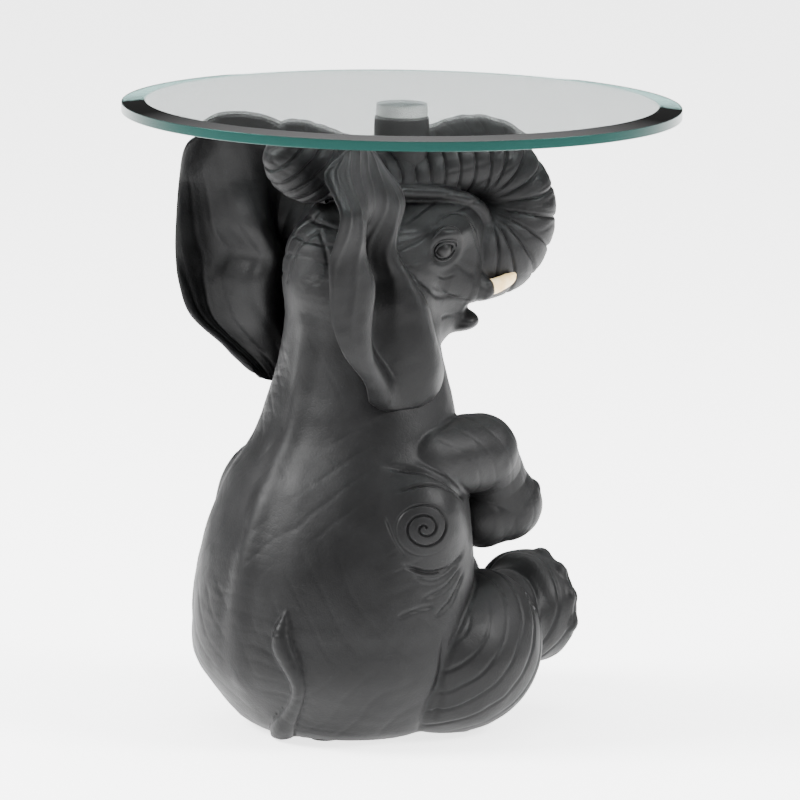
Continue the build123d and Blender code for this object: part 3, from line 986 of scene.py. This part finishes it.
def round_bar(path, sides=32):
    """Rings round a path of (x, y, z, radius), closed at both ends with a fan."""
    centre, radius = path[:, :3], path[:, 3]
    along = np.gradient(centre, axis=0)
    along /= np.linalg.norm(along, axis=1)[:, None]
    level = np.cross(along, (0, 0, 1.0))
    level /= np.linalg.norm(level, axis=1)[:, None]
    up = np.cross(level, along)
    angle = np.linspace(0, 2 * math.pi, sides, endpoint=False)
    spokes = level[:, None] * np.cos(angle)[:, None] + up[:, None] * np.sin(angle)[:, None]
    rings = centre[:, None] + spokes * radius[:, None, None]
    return np.concatenate([rings.reshape(-1, 3), centre[[0, -1]]]), ring_faces(len(path), sides)


def outward_faces(points, faces):
    """Turns every face round if the solid's signed volume comes out negative."""
    volume = sum(
        np.einsum("ij,ij->i", points[f[:, 0]], np.cross(points[f[:, k]], points[f[:, k + 1]])).sum()
        for f in faces
        for k in range(1, f.shape[1] - 1)
    )
    return faces if volume > 0 else [f[:, ::-1] for f in faces]


# %% Tusks
tusk_finish = Finish("cream_tusk", Roughness=0.38, Specular_IOR_Level=0.2)
grain = tusk_finish.noise(90.0, 3.0)
TUSK_CREAM, TUSK_YELLOW = (0.90, 0.70, 0.40, 1), (0.80, 0.54, 0.24, 1)
tusk_finish.feed(Base_Color=tusk_finish.blend(grain.step(0.35, 0.7), TUSK_CREAM, TUSK_YELLOW))
tusk_finish.bump(tusk_finish.noise(420.0, 2.0), 0.15, 0.5)

for side, word in ((1, "left"), (-1, "right")):
    path = on_head(smoothed(mirrored(TUSK, side), 1.5))
    points, faces = round_bar(path)
    points = points + 0.25 * waves(points, 6, 21)[:, None] * np.array([0.6, 0.6, 0.5])
    faces = outward_faces(points, faces)
    piece(f"{word}_tusk_tip", points, faces, tusk_finish.material, "base", (f"{word}_tusk",))

# %% Eyes
# Darker than the resin round them: painted shade, where the eye sits deep in its socket behind the lids.
EYE_SHADE_DARK, EYE_SHADE_LIGHT = (0.0012, 0.0012, 0.0013, 1), (0.0025, 0.0025, 0.0026, 1)
eye_finish = Finish("satin_eye_painted_shade", Specular_IOR_Level=0.2)
eye_finish.feed(
    Base_Color=eye_finish.blend(eye_finish.noise(300.0), EYE_SHADE_DARK, EYE_SHADE_LIGHT),
    Roughness=eye_finish.noise(500.0) * 0.1 + 0.42,
)
EYE_BALL, EYE_SINK = 9.0, 5.6
# Lids: half length, half height, bar radius, and the stretch of the oval in half turns
LIDS = {
    "upper_lid": (9.4, 6.8, 1.5, (0.0, 1.0)),
    "lower_lid": (9.2, 5.6, 1.25, (1.0, 2.0)),
    "lid_fold": (13.0, 10.0, 1.3, (0.0, 1.0)),
    "eye_bag": (12.6, 8.8, 1.1, (1.1, 1.9)),
    "brow": (17.5, 17.0, 1.5, (0.12, 0.85)),
}
for side, word in ((1, "left"), (-1, "right")):
    level_out = head_place((0, 1, 0), side)
    turn = np.linspace(-math.pi / 2, math.pi / 2, 25)[1:-1]
    centres = eyes[side] + level_out * (EYE_BALL * np.sin(turn) - EYE_SINK)[:, None]
    ball = np.concatenate([centres, (EYE_BALL * np.cos(turn))[:, None]], axis=1)
    points, faces = round_bar(ball)
    piece(f"{word}_eye", points, outward_faces(points, faces), eye_finish.material, "base", ())
    for lid, (long, tall, thick, (first, last)) in LIDS.items():
        turn = np.linspace(first, last, 41)[:, None] * math.pi
        path = eyes[side] + ahead * np.cos(turn) * long
        path[:, 2:] += np.sin(turn) * tall + np.cos(turn) * 1.2
        radius = thick * (0.35 + 0.65 * np.sin((turn - first * math.pi) / (last - first)) ** 0.6)
        path = laid_on(head_gap, np.concatenate([path, radius], axis=1), -0.1)
        points, faces = round_bar(path, 20)
        piece(f"{word}_{lid}", points, outward_faces(points, faces), resin, "base", ())

# %% [markdown]
# ## Turned parts
#
# The glass, the hub, the peg and the stud are all turned: an outline spun about the upright axis. Each
# corner of the outline is eased a little, as a grinder or a lathe leaves it, and that thin facet is
# what shows as a bright line.

# %% Spin an outline
def eased(corners, ease):
    """An outline of (radius, height) with each inner corner replaced by three points of a small curve."""
    corners = np.array(corners, float)
    out = [corners[0]]
    for before, here, after in zip(corners[:-2], corners[1:-1], corners[2:]):
        start = here + (before - here) * min(ease / np.linalg.norm(before - here), 0.45)
        end = here + (after - here) * min(ease / np.linalg.norm(after - here), 0.45)
        out += [start, (start + 2 * here + end) / 4, end]
    return np.array(out + [corners[-1]])


def spun(outline, sides=192, ridge=None):
    """Rings of the outline, with its ends, which lie on the axis, closed by fans. ridge(angle, height,
    radius) may change the radius."""
    radius, height = outline[1:-1].T
    angle = np.linspace(0, 2 * math.pi, sides, endpoint=False)
    r = np.repeat(radius[:, None], sides, axis=1)
    if ridge:
        r = ridge(angle[None, :], height[:, None], r)
    z = np.repeat(height[:, None], sides, axis=1)
    rings = np.stack([r * np.cos(angle), r * np.sin(angle), z], axis=-1)
    poles = [(0, 0, outline[0][1]), (0, 0, outline[-1][1])]
    return np.concatenate([rings.reshape(-1, 3), poles]), ring_faces(len(radius), sides)


# %% [markdown]
# Plate glass is clear from above and green at its ground edge, where the light has come a long way
# through it. The bevel is polished, so it bends what is behind it into a dark band. It is also coloured a
# deeper green than the flat glass: a painted tint that stands in for the green light the bevel gathers
# from inside the thick glass.

# %% Glass top
BEVEL_WIDE, BEVEL_DROP, ARRIS = 19.0, 2.0, 0.6
FILM_GAP = 0.1  # keeps the glass clear of the film, because light is lost between faces that share a place
glass_finish = Finish("clear_glass", IOR=1.52, Transmission_Weight=1.0)
x_y_z = glass_finish.node("ShaderNodeSeparateXYZ", {}, {0: glass_finish.place})
across = Number(glass_finish, x_y_z.socket.node.outputs["Y"])
from_middle = ((x_y_z * x_y_z) + (across * across)) ** 0.5
at_edge = from_middle.step((GLASS_RADIUS - 1.2) * MM, (GLASS_RADIUS - 0.4) * MM)
painted_bevel_green = from_middle.step((GLASS_RADIUS - BEVEL_WIDE - 0.5) * MM, (GLASS_RADIUS - BEVEL_WIDE + 0.5) * MM)
# The bevel's deeper green is a painted tint, standing in for the green light it gathers from inside the
# thick glass.
clear = glass_finish.blend(painted_bevel_green, (0.90, 0.95, 0.945, 1), (0.40, 0.64, 0.61, 1))
glass_finish.feed(
    Base_Color=glass_finish.blend(at_edge, clear, (0.006, 0.040, 0.034, 1)),
    Metallic=at_edge * 0.85,
    Roughness=at_edge * 0.22 + glass_finish.noise(60.0) * 0.004,
)
glass_outline = eased(
    [
        (0, glass_low[2] + FILM_GAP),
        (GLASS_RADIUS - ARRIS, glass_low[2] + FILM_GAP),
        (GLASS_RADIUS, glass_low[2] + ARRIS),
        (GLASS_RADIUS, TABLE_HEIGHT - BEVEL_DROP),
        (GLASS_RADIUS - BEVEL_WIDE, TABLE_HEIGHT),
        (0, TABLE_HEIGHT),
    ],
    0.25,
)
points, faces = spun(glass_outline, 384)
normals, glass = directions(points, faces), glass_finish.material
piece("bevelled_glass", points, faces, glass, "glass_top", ("glass_top",), normals)

# %% [markdown]
# The hub is stainless bar, faced and brushed round its side. Brushing leaves fine lines along the cut,
# so its roughness and relief are stretched round the axis.

# %% Hub, stud and peg
def brushed(name, colour, tall_lines):
    """A metal with fine lines: noise stretched along the brushing."""
    finish = Finish(name, Metallic=0.8, Anisotropic=0.3)
    lines = finish.noise(1.0, 3.0, finish.stretched(tall_lines))
    low = tuple(c * 0.82 for c in colour) + (1,)
    finish.feed(
        Base_Color=finish.blend(lines.step(0.3, 0.7), low, colour + (1,)),
        Roughness=lines * 0.16 + 0.42,
    )
    finish.bump(lines, 0.05, 0.4)
    return finish.material


steel = brushed("brushed_steel", (0.66, 0.66, 0.65), (60.0, 60.0, 2600.0))
hub_low, hub_high = (np.array(corner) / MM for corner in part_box("hub_disc"))
stud_low, stud_high = (np.array(corner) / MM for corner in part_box("threaded_stud"))
insert_low, insert_high = (np.array(corner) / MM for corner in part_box("thread_insert"))
HUB_BORE = 5.05
bore_top = stud_high[2] + 0.2
hub_outline = [
    (0, bore_top), (HUB_BORE, bore_top), (HUB_BORE, hub_low[2]), (hub_high[0], hub_low[2]),
    (hub_high[0], hub_high[2]), (0, hub_high[2]),
]
points, faces = spun(eased(hub_outline, 0.8), 160)
normals = directions(points, faces)
piece("steel_hub", points, faces, steel, "glass_top", ("hub_disc",), normals)

THREAD_PITCH, THREAD_DEEP = 1.5, 0.8


def thread(angle, height, radius):
    """The radius is full where the height in pitches, less the angle in turns, is halfway between whole
    numbers. On both sides it falls along a rounded tooth, and it is least at the whole numbers."""
    phase = (height / THREAD_PITCH - angle / (2 * math.pi)) % 1
    return radius - THREAD_DEEP * np.abs(2 * phase - 1) ** 1.3


stud_radius = stud_high[0]
threads = np.linspace(stud_low[2] + 0.5, stud_high[2] - 0.5, 130)
stud_outline = np.array(
    [(0, stud_low[2]), (stud_radius - 1, stud_low[2]), (stud_radius - 0.5, stud_low[2] + 0.3)]
    + [(stud_radius, z) for z in threads]
    + [(stud_radius - 0.5, stud_high[2] - 0.3), (stud_radius - 1, stud_high[2]), (0, stud_high[2])]
)
points, faces = spun(stud_outline, 72, thread)
stud_steel = brushed("stud_steel", (0.5, 0.5, 0.49), (900.0, 900.0, 900.0))
piece("screw_thread", points, faces, stud_steel, "screw_stud", ("threaded_stud",))

peg_high = np.array(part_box("support_peg")[1]) / MM
PEG_UNDER = 456.0
peg_outline = [
    (0, PEG_UNDER), (peg_high[0], PEG_UNDER), (peg_high[0], peg_high[2]), (insert_high[0], peg_high[2]),
    (insert_high[0], insert_low[2]), (0, insert_low[2]),
]
points, faces = spun(eased(peg_outline, 2.2), 128)
normals = directions(points, faces)
piece("resin_peg", points, faces, resin, "base", ("support_peg",), normals)

# %% [markdown]
# Four CAD parts have the right shape as they are and only need a finish: the brass insert, the silvered
# film that bonds the hub to the glass, the board under the base and the rubber pads.

# %% Finishes for the parts that stay
brass = brushed("turned_brass", (0.78, 0.58, 0.26), (40.0, 40.0, 3000.0))

film_finish = Finish("silvered_film", Metallic=0.4)
film_finish.feed(
    Base_Color=film_finish.blend(film_finish.noise(200.0), (0.46, 0.50, 0.50, 1), (0.60, 0.63, 0.63, 1)),
    Roughness=film_finish.noise(300.0) * 0.1 + 0.35,
)
board_finish = Finish("painted_board")
board_grain = board_finish.noise(1.0, 4.0, board_finish.stretched((12.0, 220.0, 220.0)))
BOARD_DARK, BOARD_LIGHT = (0.03, 0.028, 0.026, 1), (0.06, 0.055, 0.05, 1)
board_finish.feed(
    Base_Color=board_finish.blend(board_grain.step(0.3, 0.7), BOARD_DARK, BOARD_LIGHT),
    Roughness=board_grain * 0.2 + 0.6,
)
board_finish.bump(board_grain, 0.2, 0.5)
rubber_finish = Finish("pad_rubber")
rubber_grain = rubber_finish.noise(900.0, 3.0)
rubber_finish.feed(
    Base_Color=rubber_finish.blend(rubber_grain, (0.014, 0.014, 0.014, 1), (0.03, 0.03, 0.03, 1)),
    Roughness=rubber_grain * 0.2 + 0.7,
)
rubber_finish.bump(rubber_grain, 0.1, 0.5)

for node, material in (
    ("thread_insert", brass),
    ("bond_film", film_finish.material),
    ("base_plate", board_finish.material),
    ("floor_pads", rubber_finish.material),
):
    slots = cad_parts[node].data.materials
    slots.clear()
    slots.append(material)
    print("finished", node)

# %% [markdown]
# ## The studio
#
# A white floor that glows, so that it stays pale behind the dark table. The sky is dark near the horizon,
# which keeps its reflection out of the glass, and white higher up. Two soft lights stand at the sides and
# a wider one hangs above. The camera stands a long way off with a long lens, behind the animal's right
# shoulder, and looks a little down.

# %% Floor, lights and camera
VIEW = math.radians(225.0)
CAMERA_AWAY, CAMERA_HIGH, CAMERA_RIGHT = 5.5, 1.224, 0.002
CAMERA_DOWN, CAMERA_ROLL, LENS = math.radians(9.91), math.radians(0.86), 306.0

SKY_STRENGTH, FLOOR_GLOW = 1.5, 2.6
SKY_LOW, SKY_HIGH = (0.20, 0.04), (0.5, 1.0)  # how high the eye looks, and how bright the sky is there

floor_mesh = bpy.data.meshes.new("studio_floor")
floor_mesh.from_pydata([(-9, -9, 0), (9, -9, 0), (9, 9, 0), (-9, 9, 0)], [], [(0, 1, 2, 3)])
floor = bpy.data.objects.new("studio_floor", floor_mesh)
bpy.context.scene.collection.objects.link(floor)
floor_finish = Finish("studio_white", Roughness=0.9)
floor_finish.shader.inputs["Base Color"].default_value = (0.95, 0.95, 0.95, 1)
floor_finish.shader.inputs["Emission Color"].default_value = (1, 1, 1, 1)
floor_finish.shader.inputs["Emission Strength"].default_value = FLOOR_GLOW
floor_mesh.materials.append(floor_finish.material)

world = bpy.data.worlds.new("studio_sky")
world.use_nodes = True
sky = world.node_tree
look = sky.nodes.new("ShaderNodeTexCoord")
parts = sky.nodes.new("ShaderNodeSeparateXYZ")
ramp = sky.nodes.new("ShaderNodeValToRGB")
sky.links.new(look.outputs["Generated"], parts.inputs[0])
sky.links.new(parts.outputs["Z"], ramp.inputs[0])
sky.links.new(ramp.outputs[0], sky.nodes["Background"].inputs["Color"])
sky.nodes["Background"].inputs["Strength"].default_value = SKY_STRENGTH
for stop, (place, grey) in zip(ramp.color_ramp.elements, (SKY_LOW, SKY_HIGH)):
    stop.position, stop.color = place, (grey, grey, grey, 1)
bpy.context.scene.world = world

towards = Vector((math.sin(VIEW), -math.cos(VIEW), 0))
rightwards = Vector((math.cos(VIEW), math.sin(VIEW), 0))
AIM = Vector((0, 0, 0.26))


def soft_light(name, right, near, high, size, power):
    """A square light placed to the right of, in front of and above the table, aimed at its middle."""
    light = bpy.data.lights.new(name, "AREA")
    light.size, light.energy = size, power
    lamp = bpy.data.objects.new(name, light)
    lamp.location = rightwards * right + towards * near + Vector((0, 0, high))
    lamp.rotation_euler = (AIM - lamp.location).to_track_quat("-Z", "Y").to_euler()
    bpy.context.scene.collection.objects.link(lamp)


# Metres to the right, in front and up, then the light's width and its power in watts
LIGHTS = {
    "key": (-2.4, 0.4, 2.1, 1.2, 240),
    "side": (2.4, 0.7, 2.0, 1.2, 150),
    "top": (0.0, -0.6, 3.2, 2.5, 90),
}
for name, placed in LIGHTS.items():
    soft_light(name, *placed)

lens = bpy.data.cameras.new("camera")
lens.lens, lens.sensor_width, lens.clip_end = LENS, 36.0, 100.0
camera = bpy.data.objects.new("camera", lens)
forward = -towards * math.cos(CAMERA_DOWN) + Vector((0, 0, -math.sin(CAMERA_DOWN)))
facing = forward.to_track_quat("-Z", "Y").to_matrix().to_4x4()
camera.matrix_world = (
    Matrix.Translation(towards * CAMERA_AWAY + rightwards * CAMERA_RIGHT + Vector((0, 0, CAMERA_HIGH)))
    @ facing
    @ Matrix.Rotation(CAMERA_ROLL, 4, "Z")
)
bpy.context.scene.collection.objects.link(camera)
bpy.context.scene.camera = camera
print("camera at", tuple(round(c, 3) for c in camera.matrix_world.translation))
